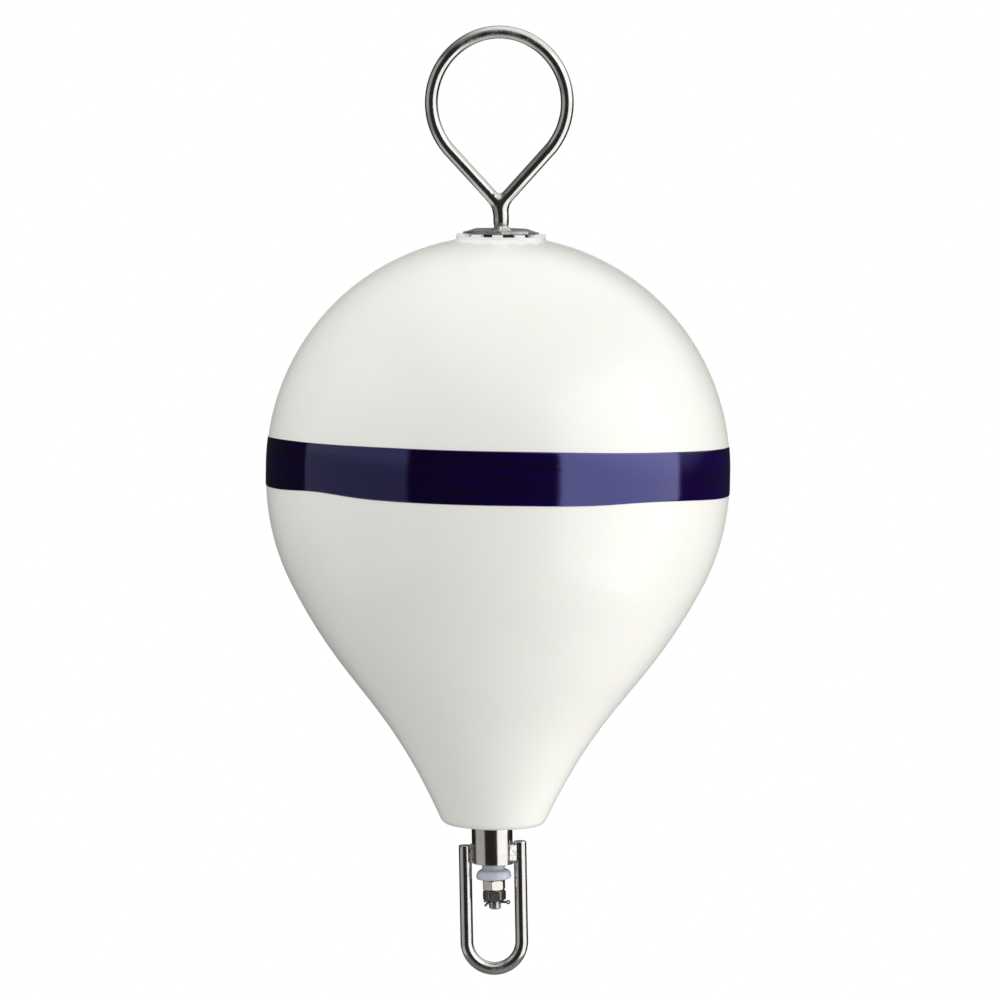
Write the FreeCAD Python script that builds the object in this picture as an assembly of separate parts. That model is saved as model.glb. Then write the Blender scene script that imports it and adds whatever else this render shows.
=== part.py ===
import FreeCAD, Part
import math
import os

# Mooring buoy with a pickup loop above and a mooring bail on a swivel below.
# Millimetres. +Z is up along the through rod, the loop and the bail lie in the XZ plane,
# and the origin is on the rod's axis at the height of the bail's lowest point.

V = FreeCAD.Vector
UP = V(0, 0, 1)
AXIS_Y = V(0, 1, 0)

# Clearances
running_clear = 0.10        # round running fits, on the radius
end_play = 0.30             # axial gap at each thrust face between pieces that turn
moulded_clear = 0.30        # loose fits of a moulded piece in its recess, on the radius

# Rod stock and loop
rod_d = 12.7                # half inch round bar
crown_r = 63.6              # centreline radius of the loop's top
crown_deg = 31.0            # half of the angle that the top covers
flank_r = 70.1              # centreline radius of its sides
leg_deg = 42.3              # slope of each leg from the loop's midline
loop_lean_deg = 1.0         # the loop leans a little to the left
loop_shift = 1.7            # and its legs meet left of the shank's axis
loop_bend_r = 26.0          # centreline radius of the bend from the shank into the right leg
loop_foot = 24.6            # height of the point where the legs meet above the plate

# Weld that closes the loop
crotch_bead_r = 2.1         # bead along the valley between the legs
crotch_bead_sink = 0.7      # its middle lies this far inside the valley
crotch_bead_end_deg = 12.0  # it ends this far below the legs' meeting point
toe_r = 28.0                # hollow of the weld under the left leg, seen from the front
toe_bead_r = 4.6
toe_sink = 0.12             # the toe's ends dip this far under the bar

# Top plate
plate_corners = 75.0        # octagon, across corners
plate_t = 3.2
plate_weld_leg = 2.6        # fillet weld round the shank, on the plate
plate_weld_rise = 4.6       # and up the shank
plate_weld_bulge = 0.5

# Float
float_d = 457.2             # eighteen inches
float_h = 585.0             # foot to top of hub, twenty-three inches
girth_len = 11.4            # straight girth between the two round halves
shoulder_deg = 27.7         # the lower round half ends here, below the horizontal
shoulder_pull = 0.429       # hold of the round half on the curve below it, as a share of the chord
foot_pull = 0.491           # hold of the foot on the same curve
foot_lean_deg = 25.1        # slope of the side where it meets the foot's edge, from the vertical
foot_flat_r = 42.7          # flat under the foot
foot_edge_r = 10.9
wall_t = 4.5
foot_t = 14.0               # thick bottom round the tube
crown_t = 16.0              # thick top under the hub's recess
boss_wall = 7.0             # moulded sockets round both ends of the tube
boss_len = 26.0

# Hub at the top of the float
hub_r = 44.0
hub_bore_r = 33.0
hub_fillet_r = 2.5
hub_rise = 5.8              # hub's top above the dome at the hub's side
hub_recess = 8.0
slot_count = 12
slot_w = 12.6
slot_depth = 2.4
slot_first_deg = -79.5      # direction of one slot's middle, from +X

# Centre tube and its bushes
tube_d = 26.0
tube_wall = 3.0
spigot_len = 24.0
foot_flange_r = 16.5
foot_flange_t = 2.8

# Girth tape
tape_w = 50.8               # two inches
tape_t = 0.4
tape_glue = 0.1             # adhesive film under the tape
tape_rise = 4.8             # its middle above the middle of the girth
tape_lean_x = -1.75         # laid by hand: front edge raised, degrees about X
tape_lean_y = 0.75          # left edge raised, degrees about Y

# Inflation valve, at the back of the dome
valve_reach = 112.0         # distance from the axis
valve_r = 9.0
valve_flange_r = 13.0
valve_flange_t = 2.5
valve_depth = 16.0
valve_bore_r = 5.0
plug_head_r = 6.5
plug_head_t = 2.0
plug_len = 12.0
plug_slot_w = 1.6
plug_slot_depth = 1.2

# Swivel sleeve and bail
sleeve_d = 40.2
sleeve_len = 36.0
sleeve_wall = 10.35
sleeve_edge = 0.5
bail_rod_d = 12.7
bail_drop = 111.6           # sleeve's lower face down to the bail's lowest point
bail_gap = 0.8              # root gap of the welds
bail_grip_left = 18.9       # how far each leg stands up beside the sleeve
bail_grip_right = 22.1
bail_skew = 1.8             # the bail was welded on slightly askew, degrees about Y
bail_end_r = 1.5            # rounded ends of the legs
bead_len = 19.0
bead_lift_left = 0.6        # how far each weld bead starts above the sleeve's lower face
bead_lift_right = 1.6
bead_reach = 7.7            # half width of a bead, front to back
bead_half = 4.9             # half width of a bead, from side to side
bead_out = 2.2              # a bead's middle lies this far outside the middle of the gap
bead_round = 2.2

# Swivel bush
neck_r = 11.7
bush_drop = 16.7            # sleeve's lower face down to the bush's
rim_r = 17.5
rim_len = 6.1               # from the bush's lower face to the rim's shoulder
rim_edge_r = 2.0
rim_shoulder_r = 3.6
flare_deg = 27.0            # slope of the rim's upper side

# Thread end, nuts and split pin
thread_root_r = 5.45
thread_run = 8.0            # plain thread above the lock nut, inside the bush
nut_flats = 20.6            # thirteen sixteenths of an inch
lock_nut_h = 8.9
end_nut_h = 11.1
nut_face_step = 1.0         # the round faces stop this far inside the flats
nut_chamfer_deg = 40.0
lock_nut_turn = -11.5       # direction of a corner from the front, degrees
end_nut_turn = 26.0
tip_len = 8.6               # rod end below the end nut
tip_chamfer = 1.2
pin_d = 2.4
pin_hole_d = 2.7
pin_drop = 1.6              # pin's middle below the end nut
pin_eye_r = 2.1
pin_lead = 14.6             # eye's middle from the rod's axis
pin_stand = 0.8             # straight stretch beyond the rod before the legs part
pin_tail = 3.6
pin_tail_r = 0.75
pin_tail_degs = (5.0, 43.0)  # slopes of the two legs below the horizontal

# Heights that follow
sleeve_low = bail_drop
sleeve_top = sleeve_low + sleeve_len
foot_z = sleeve_top + end_play + foot_flange_t
hub_top = foot_z + float_h
plate_low = hub_top + end_play
plate_top = plate_low + plate_t
legs_z = plate_top + loop_foot
bush_low = sleeve_low - bush_drop
lock_top = bush_low - end_play
end_top = lock_top - lock_nut_h
end_low = end_top - end_nut_h
tip_z = end_low - tip_len
pin_z = end_low - pin_drop
thread_top = lock_top + thread_run

rod_r = rod_d / 2
bore_r = rod_r + running_clear
tube_r = tube_d / 2
tube_bore_r = tube_r - tube_wall
float_r = float_d / 2
high_centre_z = hub_top - hub_rise - math.sqrt(float_r ** 2 - hub_r ** 2)
low_centre_z = high_centre_z - girth_len
recess_z = hub_top - hub_recess
crown_z = recess_z - crown_t
floor_z = foot_z + foot_t
sleeve_r = sleeve_d / 2
sleeve_bore_r = sleeve_r - sleeve_wall
bail_rod_r = bail_rod_d / 2
bail_half = sleeve_r + bail_gap + bail_rod_r


def on_ring(radius, degrees):
    """Unit step of a circle in the section plane: x outwards, z up."""
    angle = math.radians(degrees)
    return V(radius * math.cos(angle), 0, radius * math.sin(angle))


def turned(edges):
    """Solid of revolution about the rod's axis from a closed section."""
    face = Part.Face(Part.Wire(edges))
    solid = face.revolve(V(0, 0, 0), UP, 360)
    return solid


def line(a, b):
    return Part.makeLine(a, b)


def arc(centre, radius, start_deg, end_deg):
    """Arc in the section plane, from one direction to the other."""
    middle_deg = (start_deg + end_deg) / 2
    points = [centre + on_ring(radius, d) for d in (start_deg, middle_deg, end_deg)]
    return Part.Arc(*points).toShape()


def section(points):
    """Closed section of straight sides through (radius, height) pairs."""
    corners = [V(r, 0, z) for r, z in points]
    return [line(a, b) for a, b in zip(corners, corners[1:] + corners[:1])]


def single(shape):
    """The one solid that a boolean result holds."""
    assert len(shape.Solids) == 1, "expected one solid, got %d" % len(shape.Solids)
    return shape.Solids[0]


def one_solid(shape):
    """The one solid of a boolean result, with its split faces joined."""
    return single(shape.removeSplitter())


def bar_run(start, direction, length, radius):
    """Straight stretch of round bar, and where it ends."""
    solid = Part.makeCylinder(radius, length, start, direction)
    return solid, start + direction * length


def bar_bend(start, direction, centre, degrees, radius):
    """Bent stretch of round bar about an axis along Y through its centre."""
    disc = Part.Face(Part.Wire(Part.Circle(start, direction, radius).toShape()))
    return disc.revolve(centre, AXIS_Y, degrees)


def loop_frame():
    """Point where the legs' centrelines meet, and the loop's own up and side directions."""
    lean = math.radians(loop_lean_deg)
    up = V(-math.sin(lean), 0, math.cos(lean))
    side = V(math.cos(lean), 0, math.sin(lean))
    return V(-loop_shift, 0, legs_z), up, side


def leg_way(hand):
    """Direction in which a leg leaves the meeting point: hand is 1 for the right, -1 for the left."""
    _, up, side = loop_frame()
    slope = math.radians(leg_deg)
    return up * math.cos(slope) + side * hand * math.sin(slope)


def loop_centres():
    """Centre of the loop's top, and of its side on either hand."""
    meet, up, side = loop_frame()
    slope = math.radians(leg_deg)
    half = math.radians(crown_deg)
    step = flank_r - crown_r
    height = (flank_r + step * math.sin(slope - half)) / math.sin(slope)
    crown = meet + up * height
    flanks = [crown - (up * math.cos(half) + side * hand * math.sin(half)) * step for hand in (1, -1)]
    return crown, flanks[0], flanks[1]


def ring_rod():
    """Through rod and pickup loop, bent from one bar, with its plain thread core."""
    meet, up, side = loop_frame()
    crown, right_flank, left_flank = loop_centres()
    right = leg_way(1)
    left = leg_way(-1)
    turn = leg_deg - loop_lean_deg
    setback = loop_bend_r * math.tan(math.radians(turn / 2))
    crossing = meet + right * (loop_shift / right.x)
    core = Part.makeCylinder(thread_root_r, thread_top - tip_z, V(0, 0, tip_z))
    core = core.makeChamfer(tip_chamfer, [tip_edge(core)])
    shank, bend_start = bar_run(V(0, 0, thread_top), UP, crossing.z - setback - thread_top, rod_r)
    bend = bar_bend(bend_start, UP, bend_start + V(loop_bend_r, 0, 0), turn, rod_r)
    leg_start = crossing + right * setback
    leg_len = (right_flank - leg_start).dot(right)
    right_leg, flank_start = bar_run(leg_start, right, leg_len, rod_r)
    flank_turn = 90 + leg_deg - crown_deg
    right_side = bar_bend(flank_start, right, right_flank, -flank_turn, rod_r)
    crown_start = crown + (up * math.cos(math.radians(crown_deg))
                           + side * math.sin(math.radians(crown_deg))) * crown_r
    crown_way = AXIS_Y.cross(crown - crown_start).normalize()
    top = bar_bend(crown_start, crown_way, crown, -2 * crown_deg, rod_r)
    left_root = meet - left * (loop_shift / -left.x)
    left_len = (left_flank - left_root).dot(left)
    left_leg, side_end = bar_run(left_root, left, left_len, rod_r)
    left_side = bar_bend(side_end, left, left_flank, flank_turn, rod_r)
    rod = core.fuse([shank, bend, right_leg, right_side, top, left_side, left_leg])
    hole = Part.makeCylinder(pin_hole_d / 2, 2 * rod_d, V(-rod_d, 0, pin_z), V(1, 0, 0))
    return one_solid(rod.cut(hole))


def tip_edge(core):
    """Lowest round edge of the thread core."""
    rings = [e for e in core.Edges if isinstance(e.Curve, Part.Circle)]
    return min(rings, key=lambda e: e.BoundBox.ZMax)


def crotch_bead(rod):
    """Bead in the valley between the legs, from the front over the crotch to the back."""
    meet, up, _ = loop_frame()
    rise = rod_r / math.sin(math.radians(leg_deg)) - crotch_bead_sink
    reach = rod_r - crotch_bead_sink
    valley = Part.Ellipse(meet + up * rise, meet + AXIS_Y * reach, meet)
    low = -math.radians(90 + crotch_bead_end_deg)
    path = valley.toShape(low, -low)
    disc = Part.Circle(path.valueAt(low), path.tangentAt(low), crotch_bead_r).toShape()
    bead = Part.Wire(path).makePipeShell([Part.Wire(disc)], True, True)
    return single(bead.cut(rod))


def toe_bead(rod):
    """Hollow weld under the left leg, where its end runs into the shank."""
    left = leg_way(-1)
    turn = leg_deg + loop_lean_deg
    left_root_z = legs_z + loop_shift * left.z / left.x
    start_z = left_root_z - (rod_r + toe_r) * math.tan(math.radians(turn / 2))
    start = V(toe_bead_r - rod_r + toe_sink, 0, start_z)
    centre = V(-rod_r - toe_r, 0, start_z)
    bead = bar_bend(start, UP, centre, -turn, toe_bead_r)
    return single(bead.cut(rod))


def loop_weld(rod):
    """Weld that closes the loop: one bead between the legs and one under the left leg."""
    return Part.makeCompound([crotch_bead(rod), toe_bead(rod)])


def top_plate():
    """Octagonal plate, with a corner towards each side, on the shank."""
    corner_r = plate_corners / 2
    corners = [V(corner_r * math.cos(math.radians(45 * k)), corner_r * math.sin(math.radians(45 * k)),
                 plate_low) for k in range(8)]
    outline = Part.makePolygon(corners + corners[:1])
    plate = Part.Face(outline).extrude(UP * plate_t)
    return one_solid(plate.cut(Part.makeCylinder(rod_r, 3 * plate_t, V(0, 0, plate_low - plate_t))))


def plate_weld():
    """Fillet weld between the shank and the plate."""
    toe = V(rod_r + plate_weld_leg, 0, plate_top)
    root = V(rod_r, 0, plate_top)
    top = V(rod_r, 0, plate_top + plate_weld_rise)
    outward = V(plate_weld_rise, 0, plate_weld_leg).normalize()
    belly = (toe + top) / 2 + outward * plate_weld_bulge
    return turned([line(root, toe), Part.Arc(toe, belly, top).toShape(), line(top, root)])


def side_curve(inset):
    """Long S curve of the body's side, from the foot's edge up to the lower round half."""
    edge_centre = V(foot_flat_r, 0, foot_z + foot_edge_r)
    low = edge_centre + on_ring(foot_edge_r - inset, -foot_lean_deg)
    high = V(0, 0, low_centre_z) + on_ring(float_r - inset, -shoulder_deg)
    chord = (high - low).Length
    low_hold = low + on_ring(foot_pull * chord, 90 - foot_lean_deg)
    high_hold = high + on_ring(shoulder_pull * chord, -90 - shoulder_deg)
    curve = Part.BezierCurve()
    curve.setPoles([low, low_hold, high_hold, high])
    return curve.toShape(), low


def round_sides(inset, dome_deg):
    """Lower round half, straight girth and dome, up to a direction of the dome."""
    radius = float_r - inset
    low_centre = V(0, 0, low_centre_z)
    high_centre = V(0, 0, high_centre_z)
    return [
        arc(low_centre, radius, -shoulder_deg, 0),
        line(V(radius, 0, low_centre_z), V(radius, 0, high_centre_z)),
        arc(high_centre, radius, 0, dome_deg),
    ]


def outer_body():
    """The float as a solid, with its foot's rounded edge and its hub."""
    foot_curve, _ = side_curve(0)
    edge_centre = V(foot_flat_r, 0, foot_z + foot_edge_r)
    fillet_x = hub_r + hub_fillet_r
    fillet_z = high_centre_z + math.sqrt((float_r + hub_fillet_r) ** 2 - fillet_x ** 2)
    fillet_deg = math.degrees(math.atan2(fillet_z - high_centre_z, fillet_x))
    edges = [arc(edge_centre, foot_edge_r, -90, -foot_lean_deg), foot_curve]
    edges += round_sides(0, fillet_deg)
    edges.append(arc(V(fillet_x, 0, fillet_z), hub_fillet_r, 180 + fillet_deg, 180))
    rest = [V(hub_r, 0, fillet_z), V(hub_r, 0, hub_top), V(hub_bore_r, 0, hub_top),
            V(hub_bore_r, 0, recess_z), V(tube_r, 0, recess_z), V(tube_r, 0, foot_z),
            V(foot_flat_r, 0, foot_z)]
    edges += [line(a, b) for a, b in zip(rest, rest[1:])]
    return turned(edges)


def cavity():
    """Hollow inside the float, less the thick crown and foot and the tube's two sockets."""
    foot_curve, low = side_curve(wall_t)
    dome_deg = math.degrees(math.acos(tube_bore_r / (float_r - wall_t)))
    top = V(0, 0, high_centre_z) + on_ring(float_r - wall_t, dome_deg)
    rest = [top, V(tube_bore_r, 0, low.z), low]
    edges = [foot_curve] + round_sides(wall_t, dome_deg)
    edges += [line(a, b) for a, b in zip(rest, rest[1:])]
    slab = Part.makeCylinder(float_d, crown_z - floor_z, V(0, 0, floor_z))
    boss_r = tube_r + boss_wall
    sockets = [Part.makeCylinder(boss_r, boss_len, V(0, 0, crown_z - boss_len)),
               Part.makeCylinder(boss_r, boss_len, V(0, 0, floor_z))]
    return single(turned(edges).common(slab).cut(sockets))


def hub_slots():
    """Drain slots across the hub's rim."""
    slots = []
    for k in range(slot_count):
        low = V(0, -slot_w / 2, hub_top - slot_depth)
        slot = Part.makeBox(hub_r + slot_w, slot_w, 2 * slot_depth, low)
        slot.rotate(V(0, 0, 0), UP, slot_first_deg + k * 360 / slot_count)
        slots.append(slot)
    return slots


def valve_frame():
    """Centre of the valve on the dome and its outward direction."""
    outward = math.degrees(math.acos(valve_reach / float_r))
    direction = V(0, math.cos(math.radians(outward)), math.sin(math.radians(outward)))
    return V(0, 0, high_centre_z) + direction * float_r, direction


def shell():
    """Hollow moulded float with its hub, its foot and a socket at each end of the tube."""
    spot, out = valve_frame()
    seat = Part.makeCylinder(valve_r, 4 * wall_t, spot - out * 2 * wall_t, out)
    return one_solid(outer_body().cut([cavity(), seat] + hub_slots()))


def centre_tube():
    """Rigid tube that carries the rod through the float."""
    return turned(section([(tube_bore_r, foot_z), (tube_r, foot_z), (tube_r, recess_z),
                           (tube_bore_r, recess_z)]))


def top_bush():
    """Dark bush in the hub: a thick pad under the plate and a spigot in the tube."""
    pad_r = hub_bore_r - moulded_clear
    return turned(section([(bore_r, recess_z - spigot_len), (tube_bore_r, recess_z - spigot_len),
                           (tube_bore_r, recess_z), (pad_r, recess_z), (pad_r, hub_top),
                           (bore_r, hub_top)]))


def bottom_bush():
    """Flanged bush under the foot: the sleeve turns against its flange."""
    flange_z = foot_z - foot_flange_t
    return turned(section([(bore_r, flange_z), (foot_flange_r, flange_z), (foot_flange_r, foot_z),
                           (tube_bore_r, foot_z), (tube_bore_r, foot_z + spigot_len),
                           (bore_r, foot_z + spigot_len)]))


def tape():
    """Adhesive tape laid round the girth, a little out of level."""
    half_deg = math.degrees(math.asin(tape_w / float_r))
    low = V(0, 0, low_centre_z)
    high = V(0, 0, high_centre_z)
    inner_r = float_r + tape_glue
    outer_r = inner_r + tape_t
    edges = [
        arc(low, outer_r, -half_deg, 0),
        line(V(outer_r, 0, low.z), V(outer_r, 0, high.z)),
        arc(high, outer_r, 0, half_deg),
        line(high + on_ring(outer_r, half_deg), high + on_ring(inner_r, half_deg)),
        arc(high, inner_r, half_deg, 0),
        line(V(inner_r, 0, high.z), V(inner_r, 0, low.z)),
        arc(low, inner_r, 0, -half_deg),
        line(low + on_ring(inner_r, -half_deg), low + on_ring(outer_r, -half_deg)),
    ]
    blank = turned(edges)
    middle = (low + high) / 2 + V(0, 0, tape_rise)
    width = Part.makeCylinder(float_d, tape_w, middle - V(0, 0, tape_w / 2))
    width.rotate(middle, V(1, 0, 0), tape_lean_x)
    width.rotate(middle, AXIS_Y, tape_lean_y)
    return one_solid(blank.common(width))


def valve_body():
    """Valve socket: a flange inside the wall and a threaded neck through it."""
    spot, out = valve_frame()
    neck = Part.makeCylinder(valve_r, valve_depth, spot - out * valve_depth, out)
    inner_r = float_r - wall_t
    sag = inner_r - math.sqrt(inner_r ** 2 - valve_flange_r ** 2)
    flange_low = spot - out * (wall_t + sag + valve_flange_t)
    flange = Part.makeCylinder(valve_flange_r, valve_flange_t, flange_low, out)
    bore = Part.makeCylinder(valve_bore_r, 2 * valve_depth, spot - out * 1.5 * valve_depth, out)
    return one_solid(neck.fuse(flange).cut(bore))


def valve_plug():
    """Screw plug with a coin slot, closing the valve."""
    spot, out = valve_frame()
    stem = Part.makeCylinder(valve_bore_r, plug_len, spot - out * plug_len, out)
    head = Part.makeCylinder(plug_head_r, plug_head_t, spot, out)
    side = V(1, 0, 0)
    across = side.cross(out)
    far = side * 4 * plug_head_r
    wide = across * plug_slot_w
    corner = spot + out * (plug_head_t - plug_slot_depth) - far / 2 - wide / 2
    outline = [corner, corner + far, corner + far + wide, corner + wide]
    slot = Part.Face(Part.makePolygon(outline + outline[:1])).extrude(out * plug_head_t)
    return one_solid(stem.fuse(head).cut(slot))


def sleeve():
    """Thick swivel sleeve, turning round the rod on its bush."""
    edge = sleeve_edge
    return turned(section([
        (sleeve_bore_r, sleeve_low), (sleeve_r - edge, sleeve_low), (sleeve_r, sleeve_low + edge),
        (sleeve_r, sleeve_top - edge), (sleeve_r - edge, sleeve_top), (sleeve_bore_r, sleeve_top)]))


def bail():
    """U of round bar, welded by its legs to the sides of the sleeve."""
    skew = math.radians(bail_skew)
    pivot = V(0, 0, sleeve_low)
    drop = (bail_drop - bail_half - bail_rod_r) / math.cos(skew)
    bend_z = sleeve_low - drop
    pieces = []
    for side, grip in ((-1, bail_grip_left), (1, bail_grip_right)):
        leg = Part.makeCylinder(bail_rod_r, drop + grip, V(side * bail_half, 0, bend_z))
        rings = [e for e in leg.Edges if isinstance(e.Curve, Part.Circle)]
        top_edge = max(rings, key=lambda e: e.BoundBox.ZMax)
        pieces.append(leg.makeFillet(bail_end_r, [top_edge]))
    start = V(bail_half, 0, bend_z)
    pieces.append(bar_bend(start, UP, V(0, 0, bend_z), 180, bail_rod_r))
    shape = pieces[0].fuse(pieces[1:])
    shape.rotate(pivot, AXIS_Y, -bail_skew)
    return one_solid(shape)


def bail_weld(side, lift, sleeve_solid, bail_solid):
    """Weld bead in the groove between one leg and the sleeve, front and back in one."""
    middle = V(side * (sleeve_r + bail_gap / 2 + bead_out), 0, sleeve_low + lift)
    outline = Part.Ellipse(V(0, bead_reach, 0) + middle, V(bead_half, 0, 0) + middle, middle).toShape()
    bead = Part.Face(Part.Wire(outline)).extrude(UP * bead_len)
    bead = bead.makeFillet(bead_round, [e for e in bead.Edges if isinstance(e.Curve, Part.Ellipse)])
    return single(bead.cut([sleeve_solid, bail_solid]))


def swivel_bush():
    """Nylon bush: a spigot through the sleeve, then a neck and a domed rim."""
    corner = V(rim_r - rim_edge_r, 0, bush_low + rim_edge_r)
    shoulder = V(rim_r - rim_shoulder_r, 0, bush_low + rim_len)
    rim_foot = corner + on_ring(rim_edge_r, 0)
    rim_top = shoulder + on_ring(rim_shoulder_r, 0)
    flare_end = shoulder + on_ring(rim_shoulder_r, 90 - flare_deg)
    neck_z = flare_end.z + (flare_end.x - neck_r) * math.tan(math.radians(flare_deg))
    points = [flare_end, V(neck_r, 0, neck_z), V(neck_r, 0, sleeve_low), V(sleeve_bore_r, 0, sleeve_low),
              V(sleeve_bore_r, 0, sleeve_top), V(bore_r, 0, sleeve_top), V(bore_r, 0, bush_low),
              V(rim_r - rim_edge_r, 0, bush_low)]
    edges = [line(a, b) for a, b in zip(points, points[1:])]
    edges += [arc(corner, rim_edge_r, -90, 0), line(rim_foot, rim_top)]
    edges.append(arc(shoulder, rim_shoulder_r, 0, 90 - flare_deg))
    return turned(edges)


def hex_nut(low, height, turn_deg):
    """Hexagon nut with its corners chamfered at both faces."""
    corner_r = nut_flats / math.sqrt(3)
    ring = [math.radians(-90 + turn_deg + 60 * k) for k in range(6)]
    corners = [V(corner_r * math.cos(a), corner_r * math.sin(a), low) for a in ring]
    body = Part.Face(Part.makePolygon(corners + corners[:1])).extrude(UP * height)
    face_r = nut_flats / 2 - nut_face_step
    past_r = 1.2 * corner_r
    slope = (past_r - face_r) * math.tan(math.radians(nut_chamfer_deg))
    trim = turned(section([(0, low), (face_r, low), (past_r, low + slope), (past_r, low + height - slope),
                           (face_r, low + height), (0, low + height)]))
    hole = Part.makeCylinder(thread_root_r, 3 * height, V(0, 0, low - height))
    return one_solid(body.common(trim).cut(hole))


def split_pin():
    """Split pin through the rod's end: an eye at one side, bent legs at the other."""
    leg_r = pin_d / 2
    wire_r = pin_d / 4
    neck_x = pin_lead - pin_eye_r + wire_r
    tail_x = -thread_root_r - pin_stand
    stem = Part.makeCylinder(leg_r, neck_x - tail_x, V(tail_x, 0, pin_z), V(1, 0, 0))
    pieces = [Part.makeTorus(pin_eye_r - wire_r, wire_r, V(pin_lead, 0, pin_z), AXIS_Y)]
    for degrees in pin_tail_degs:
        start = V(tail_x, 0, pin_z)
        leg, leg_end = bar_run(start, on_ring(1, 180 + degrees), pin_tail, pin_tail_r)
        pieces += [leg, Part.makeSphere(pin_tail_r, start), Part.makeSphere(pin_tail_r, leg_end)]
    return one_solid(stem.fuse(pieces))


def build():
    rod = ring_rod()
    sleeve_solid = sleeve()
    bail_solid = bail()
    return {
        "ring_rod": rod,
        "loop_weld": loop_weld(rod),
        "top_plate": top_plate(),
        "plate_weld": plate_weld(),
        "lock_nut": hex_nut(end_top, lock_nut_h, lock_nut_turn),
        "end_nut": hex_nut(end_low, end_nut_h, end_nut_turn),
        "split_pin": split_pin(),
        "shell": shell(),
        "centre_tube": centre_tube(),
        "top_bush": top_bush(),
        "bottom_bush": bottom_bush(),
        "girth_tape": tape(),
        "valve_body": valve_body(),
        "valve_plug": valve_plug(),
        "sleeve": sleeve_solid,
        "bail": bail_solid,
        "bail_weld_left": bail_weld(-1, bead_lift_left, sleeve_solid, bail_solid),
        "bail_weld_right": bail_weld(1, bead_lift_right, sleeve_solid, bail_solid),
        "swivel_bush": swivel_bush(),
    }


os.makedirs("parts", exist_ok=True)
for name, shape in build().items():
    shape.exportStep("parts/%s.step" % name)
    print("%-16s %2d solid  %11.1f mm3  z %.2f to %.2f" % (
        name, len(shape.Solids), shape.Volume, shape.BoundBox.ZMin, shape.BoundBox.ZMax))
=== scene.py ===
import math
import bpy
import numpy as np
from mathutils import Matrix, Vector


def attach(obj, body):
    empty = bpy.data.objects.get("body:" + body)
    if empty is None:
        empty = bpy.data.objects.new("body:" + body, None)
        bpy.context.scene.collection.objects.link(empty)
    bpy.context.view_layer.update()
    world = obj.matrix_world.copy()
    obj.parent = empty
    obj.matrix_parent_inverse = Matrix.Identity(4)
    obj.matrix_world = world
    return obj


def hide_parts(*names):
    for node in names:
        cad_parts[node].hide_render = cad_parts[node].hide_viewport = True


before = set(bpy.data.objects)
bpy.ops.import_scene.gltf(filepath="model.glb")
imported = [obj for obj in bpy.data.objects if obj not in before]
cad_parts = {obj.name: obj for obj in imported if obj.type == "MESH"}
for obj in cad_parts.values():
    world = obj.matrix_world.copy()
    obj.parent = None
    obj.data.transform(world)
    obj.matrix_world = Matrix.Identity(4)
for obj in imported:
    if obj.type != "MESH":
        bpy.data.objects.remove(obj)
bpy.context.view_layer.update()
MM = 0.001

# Sizes of the model, in millimetres
ROD_R = 6.35
LOOP_MEET = (-1.7, 763.8)
LOOP_LEAN = math.radians(1.0)
CROWN_R, CROWN_HALF = 63.6, math.radians(31.0)
FLANK_R = 70.1
LEG = math.radians(42.3)
BEND_R = 26.0
SHANK_LOW = 700
PLATE_LOW, PLATE_TOP = 736.0, 739.2
HIGH_Z, LOW_Z, FLOAT_R = 505.57, 494.17, 228.6
SLEEVE_LOW, SLEEVE_TOP, SLEEVE_R = 111.6, 147.6, 20.3
TIP_Z, PIN_Z, BUSH_LOW = 66.0, 73.0, 95.2

# Camera of the photograph: place and sensor in millimetres, focal length and picture's width in pixels
CAMERA_X, CAMERA_FAR, CAMERA_Z, SENSOR = 2.35, 5900.0, 943.3, 36.0
FOCAL, PICTURE = 5997.1, 1000
PITCH, ROLL = math.radians(4.557), 0.0131

# How the points of a mesh are moved onto its surface: rounds, the longest move as a part of the grid's
# step, and the step for slopes in millimetres
ROUNDS, LONGEST_MOVE, SLOPE_STEP = 3, 0.6, 0.02


# Meshes

def mesh_piece(name, verts, faces, body, slot, material, normals=None):
    """Object from points in millimetres, with its material, riding on a body."""
    mesh = bpy.data.meshes.new(name)
    mesh.from_pydata(np.asarray(verts, float) * MM, [], faces)
    mesh.update()
    mesh.polygons.foreach_set("use_smooth", np.ones(len(mesh.polygons), bool))
    if normals is not None:
        mesh.normals_split_custom_set_from_vertices([Vector(n) for n in normals])
    mesh.materials.append(material)
    piece = bpy.data.objects.new(name, mesh)
    bpy.context.scene.collection.objects.link(piece)
    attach(piece, body)
    return piece


def vector_layer(piece, name, values):
    """Stores a vector at each point, for the material's drawn lines."""
    layer = piece.data.attributes.new(name, "FLOAT_VECTOR", "POINT")
    layer.data.foreach_set("vector", np.ascontiguousarray(values, float).ravel())


def ring_mesh(rings):
    """Faces between rings of points, each ring closed; rings has shape (rows, columns, 3)."""
    rows, cols, _ = rings.shape
    i, j = np.meshgrid(np.arange(rows - 1), np.arange(cols), indexing="ij")
    k = (j + 1) % cols
    quads = np.stack([i * cols + j, i * cols + k, (i + 1) * cols + k, (i + 1) * cols + j], -1)
    return rings.reshape(-1, 3), quads.reshape(-1, 4).tolist()


def revolve(profile, columns, shape=None):
    """Rings of a profile of (radius, height) turned about Z; shape may change the points."""
    profile = np.asarray(profile, float)
    turn = np.linspace(0, 2 * math.pi, columns, endpoint=False)
    r = np.repeat(profile[:, :1], columns, 1)
    z = np.repeat(profile[:, 1:], columns, 1)
    a = np.repeat(turn[None], len(profile), 0)
    if shape:
        r, z = shape(r, z, a)
    return ring_mesh(np.stack([r * np.cos(a), r * np.sin(a), z], -1))


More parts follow.
